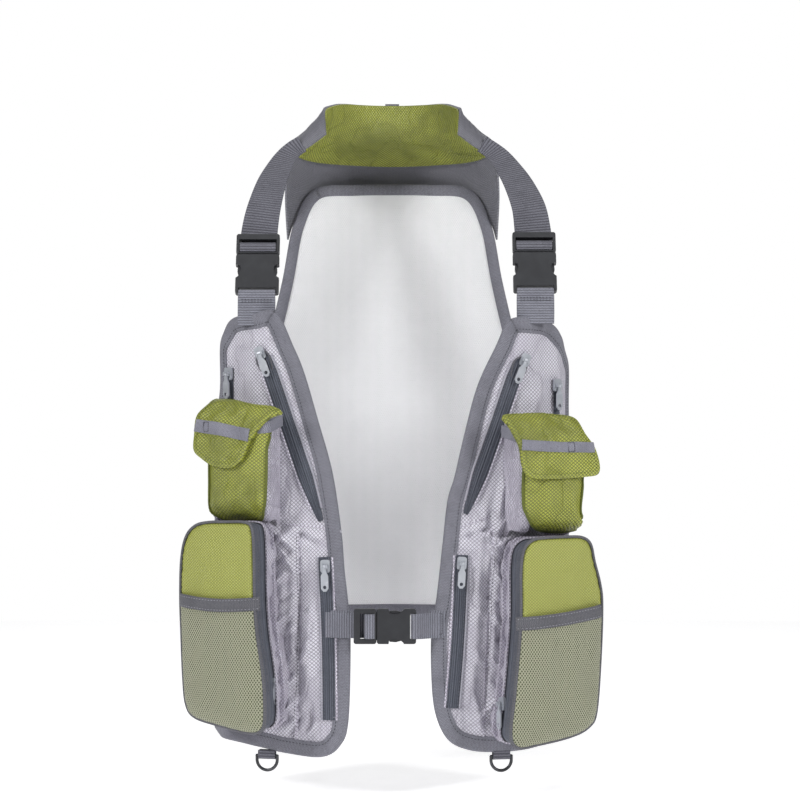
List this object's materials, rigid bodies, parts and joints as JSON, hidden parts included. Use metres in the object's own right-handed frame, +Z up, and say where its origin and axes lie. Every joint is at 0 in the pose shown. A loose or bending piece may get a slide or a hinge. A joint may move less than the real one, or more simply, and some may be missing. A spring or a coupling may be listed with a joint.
{
  "type": "fishing vest",
  "caption": "Two-panel fly-fishing vest with moulded zip pockets, flap pockets, quick-release shoulder and chest straps, collar yoke and mesh back, held in its worn shape.",
  "frame": {"origin": "inner face of the collar at the middle of the back of the neck", "axes": "+Z up the standing wearer, -Y towards the wearer's front, +X towards the wearer's left"},
  "size_m": [0.4199, 0.307, 0.6966],
  "materials": {
    "ripstop": "crinkled light grey ripstop with a slight sheen",
    "green_cloth": "lime green diamond-weave nylon",
    "moulded_green": "moulded lime green laminate, smooth satin",
    "mesh": "fine grey mesh over green cloth",
    "binding": "heathered dark grey tape, matte",
    "webbing": "grey ribbed webbing",
    "zip_tape": "slate grey reversed-coil zip tape",
    "zip_metal": "silver grey paint, satin",
    "buckle": "satin dark grey moulded plastic",
    "ring_black": "black, satin",
    "collar_cloth": "grey outside, green lining",
    "back_mesh": "pale open mesh"
  },
  "bodies": {
    "vest": {"panel_r": "ripstop", "binding_r": "binding", "upper_pocket_r": "green_cloth", "lower_pocket_r": "ripstop", "zip_tapes_r": "zip_tape", "ring_tab_r": "webbing", "shoulder_socket_r": "buckle", "shoulder_web_r": "webbing", "shoulder_strap_r": "webbing", "side_strap_r": "webbing", "panel_l": "ripstop", "binding_l": "binding", "upper_pocket_l": "green_cloth", "lower_pocket_l": "ripstop", "zip_tapes_l": "zip_tape", "ring_tab_l": "webbing", "shoulder_socket_l": "buckle", "shoulder_web_l": "webbing", "shoulder_strap_l": "webbing", "side_strap_l": "webbing", "chest_socket": "buckle", "chest_web_r": "webbing", "chest_web_l": "webbing", "collar": "collar_cloth", "back_panel": "back_mesh", "back_pocket": "ripstop", "hang_loop": "webbing"},
    "flap_r": {"flap_r": "green_cloth"},
    "pocket_front_r": {"pocket_front_r": "moulded_green", "mesh_pocket_r": "mesh"},
    "slider_chest_r": {"slider_chest_r": "zip_metal"},
    "pull_chest_r": {"pull_chest_r": "zip_metal"},
    "slider_side_r": {"slider_side_r": "zip_metal"},
    "pull_side_r": {"pull_side_r": "zip_metal"},
    "slider_inner_r": {"slider_inner_r": "zip_metal"},
    "pull_inner_r": {"pull_inner_r": "zip_metal"},
    "slider_pocket_r": {"slider_pocket_r": "zip_metal"},
    "pull_pocket_r": {"pull_pocket_r": "zip_metal"},
    "ring_r": {"ring_r": "ring_black"},
    "shoulder_plug_r": {"shoulder_plug_r": "buckle"},
    "shoulder_prong_a_r": {"shoulder_prong_a_r": "buckle"},
    "shoulder_prong_b_r": {"shoulder_prong_b_r": "buckle"},
    "flap_l": {"flap_l": "green_cloth"},
    "pocket_front_l": {"pocket_front_l": "moulded_green", "mesh_pocket_l": "mesh"},
    "slider_chest_l": {"slider_chest_l": "zip_metal"},
    "pull_chest_l": {"pull_chest_l": "zip_metal"},
    "slider_side_l": {"slider_side_l": "zip_metal"},
    "pull_side_l": {"pull_side_l": "zip_metal"},
    "slider_inner_l": {"slider_inner_l": "zip_metal"},
    "pull_inner_l": {"pull_inner_l": "zip_metal"},
    "slider_pocket_l": {"slider_pocket_l": "zip_metal"},
    "pull_pocket_l": {"pull_pocket_l": "zip_metal"},
    "ring_l": {"ring_l": "ring_black"},
    "shoulder_plug_l": {"shoulder_plug_l": "buckle"},
    "shoulder_prong_a_l": {"shoulder_prong_a_l": "buckle"},
    "shoulder_prong_b_l": {"shoulder_prong_b_l": "buckle"},
    "chest_plug": {"chest_plug": "buckle"},
    "chest_prong_a": {"chest_prong_a": "buckle"},
    "chest_prong_b": {"chest_prong_b": "buckle"}
  },
  "joints": [
    {"name": "flap_hinge_r", "type": "hinge", "parent": "vest", "child": "flap_r", "pos_m": [-0.1098, -0.2028, -0.303], "axis": [-0.9002, 0.4356, 0], "range_deg": [0, 100]},
    {"name": "pocket_front_hinge_r", "type": "hinge", "parent": "vest", "child": "pocket_front_r", "pos_m": [-0.12523, -0.22645, -0.632], "axis": [0.8701, -0.4408, -0.2204], "range_deg": [0, 95]},
    {"name": "chest_zip_slide_r", "type": "slide", "parent": "vest", "child": "slider_chest_r", "axis": [0.3415, -0.0721, -0.9371], "range_m": [0, 0.177]},
    {"name": "chest_pull_hinge_r", "type": "hinge", "parent": "slider_chest_r", "child": "pull_chest_r", "pos_m": [-0.13286, -0.1942, -0.253], "axis": [-0.9169, 0.1936, -0.3491], "range_deg": [0, 165]},
    {"name": "side_zip_slide_r", "type": "slide", "parent": "vest", "child": "slider_side_r", "axis": [0, 0, -1], "range_m": [0, 0.123]},
    {"name": "side_pull_hinge_r", "type": "hinge", "parent": "slider_side_r", "child": "pull_side_r", "pos_m": [-0.16757, -0.16986, -0.2735], "axis": [-0.7871, 0.6169, 0], "range_deg": [0, 165]},
    {"name": "inner_zip_slide_r", "type": "slide", "parent": "vest", "child": "slider_inner_r", "axis": [0.0205, -0.0043, -0.9998], "range_m": [0, 0.146]},
    {"name": "inner_pull_hinge_r", "type": "hinge", "parent": "slider_inner_r", "child": "pull_inner_r", "pos_m": [-0.06686, -0.20813, -0.466], "axis": [-0.9782, 0.2065, -0.021], "range_deg": [0, 165]},
    {"name": "pocket_zip_slide_r", "type": "slide", "parent": "vest", "child": "slider_pocket_r", "axis": [0, 0, 1], "range_m": [0, 0.107]},
    {"name": "pocket_pull_hinge_r", "type": "hinge", "parent": "slider_pocket_r", "child": "pull_pocket_r", "pos_m": [-0.11549, -0.22272, -0.577], "axis": [-0.5001, -0.866, 0], "range_deg": [0, 165]},
    {"name": "ring_swing_r", "type": "hinge", "parent": "vest", "child": "ring_r", "pos_m": [-0.12509, -0.18705, -0.6575], "axis": [-0.9784, 0.2066, 0], "range_deg": [-80, 80]},
    {"name": "shoulder_plug_slide_r", "type": "slide", "parent": "vest", "child": "shoulder_plug_r", "axis": [0, 0.397, 0.9178], "range_m": [0, 0.036], "deforming": ["shoulder_prong_a_r", "shoulder_prong_b_r"]},
    {"name": "shoulder_prong_a_squeeze_r", "type": "hinge", "parent": "shoulder_plug_r", "child": "shoulder_prong_a_r", "pos_m": [-0.123, -0.16278, -0.15897], "axis": [0, 0.9178, -0.397], "range_deg": [0, 11], "stiffness_Nm_per_rad": 0.3},
    {"name": "shoulder_prong_b_squeeze_r", "type": "hinge", "parent": "shoulder_plug_r", "child": "shoulder_prong_b_r", "pos_m": [-0.149, -0.16278, -0.15897], "axis": [0, -0.9178, 0.397], "range_deg": [0, 11], "stiffness_Nm_per_rad": 0.3},
    {"name": "flap_hinge_l", "type": "hinge", "parent": "vest", "child": "flap_l", "pos_m": [0.11764, -0.20188, -0.314], "axis": [-0.8973, -0.4415, 0], "range_deg": [0, 100]},
    {"name": "pocket_front_hinge_l", "type": "hinge", "parent": "vest", "child": "pocket_front_l", "pos_m": [0.11621, -0.22645, -0.646], "axis": [0.8921, 0.4084, 0.1935], "range_deg": [0, 95]},
    {"name": "chest_zip_slide_l", "type": "slide", "parent": "vest", "child": "slider_chest_l", "axis": [-0.3644, -0.0769, -0.9281], "range_m": [0, 0.16]},
    {"name": "chest_pull_hinge_l", "type": "hinge", "parent": "slider_chest_l", "child": "pull_chest_l", "pos_m": [0.13486, -0.19377, -0.26], "axis": [-0.9081, -0.1917, 0.3724], "range_deg": [0, 165]},
    {"name": "side_zip_slide_l", "type": "slide", "parent": "vest", "child": "slider_side_l", "axis": [0, 0, -1], "range_m": [0, 0.124]},
    {"name": "side_pull_hinge_l", "type": "hinge", "parent": "slider_side_l", "child": "pull_side_l", "pos_m": [0.17007, -0.1679, -0.285], "axis": [-0.7871, -0.6169, 0], "range_deg": [0, 165]},
    {"name": "inner_zip_slide_l", "type": "slide", "parent": "vest", "child": "slider_inner_l", "axis": [-0.0619, -0.0131, -0.998], "range_m": [0, 0.137]},
    {"name": "inner_pull_hinge_l", "type": "hinge", "parent": "slider_inner_l", "child": "pull_inner_l", "pos_m": [0.07086, -0.20728, -0.463], "axis": [-0.9765, -0.2061, 0.0633], "range_deg": [0, 165]},
    {"name": "pocket_zip_slide_l", "type": "slide", "parent": "vest", "child": "slider_pocket_l", "axis": [0, 0, 1], "range_m": [0, 0.115]},
    {"name": "pocket_pull_hinge_l", "type": "hinge", "parent": "slider_pocket_l", "child": "pull_pocket_l", "pos_m": [0.10668, -0.22306, -0.601], "axis": [-0.4997, 0.8662, 0], "range_deg": [0, 165]},
    {"name": "ring_swing_l", "type": "hinge", "parent": "vest", "child": "ring_l", "pos_m": [0.11009, -0.19021, -0.6575], "axis": [-0.9784, -0.2066, 0], "range_deg": [-80, 80]},
    {"name": "shoulder_plug_slide_l", "type": "slide", "parent": "vest", "child": "shoulder_plug_l", "axis": [0, 0.397, 0.9178], "range_m": [0, 0.036], "deforming": ["shoulder_prong_a_l", "shoulder_prong_b_l"]},
    {"name": "shoulder_prong_a_squeeze_l", "type": "hinge", "parent": "shoulder_plug_l", "child": "shoulder_prong_a_l", "pos_m": [0.132, -0.16258, -0.15697], "axis": [0, -0.9178, 0.397], "range_deg": [0, 11], "stiffness_Nm_per_rad": 0.3},
    {"name": "shoulder_prong_b_squeeze_l", "type": "hinge", "parent": "shoulder_plug_l", "child": "shoulder_prong_b_l", "pos_m": [0.158, -0.16258, -0.15697], "axis": [0, 0.9178, -0.397], "range_deg": [0, 11], "stiffness_Nm_per_rad": 0.3},
    {"name": "chest_plug_slide", "type": "slide", "parent": "vest", "child": "chest_plug", "axis": [-1, 0, 0], "range_m": [0, 0.034], "deforming": ["chest_prong_a", "chest_prong_b"]},
    {"name": "chest_prong_a_squeeze", "type": "hinge", "parent": "chest_plug", "child": "chest_prong_a", "pos_m": [-0.008, -0.218, -0.533], "axis": [0, -1, 0], "range_deg": [0, 11], "stiffness_Nm_per_rad": 0.3},
    {"name": "chest_prong_b_squeeze", "type": "hinge", "parent": "chest_plug", "child": "chest_prong_b", "pos_m": [-0.008, -0.218, -0.516], "axis": [0, 1, 0], "range_deg": [0, 11], "stiffness_Nm_per_rad": 0.3}
  ],
  "couplings": [
    {"joint": "shoulder_prong_b_squeeze_r", "follows": "shoulder_prong_a_squeeze_r", "ratio": 1},
    {"joint": "shoulder_prong_b_squeeze_l", "follows": "shoulder_prong_a_squeeze_l", "ratio": 1},
    {"joint": "chest_prong_b_squeeze", "follows": "chest_prong_a_squeeze", "ratio": 1}
  ]
}
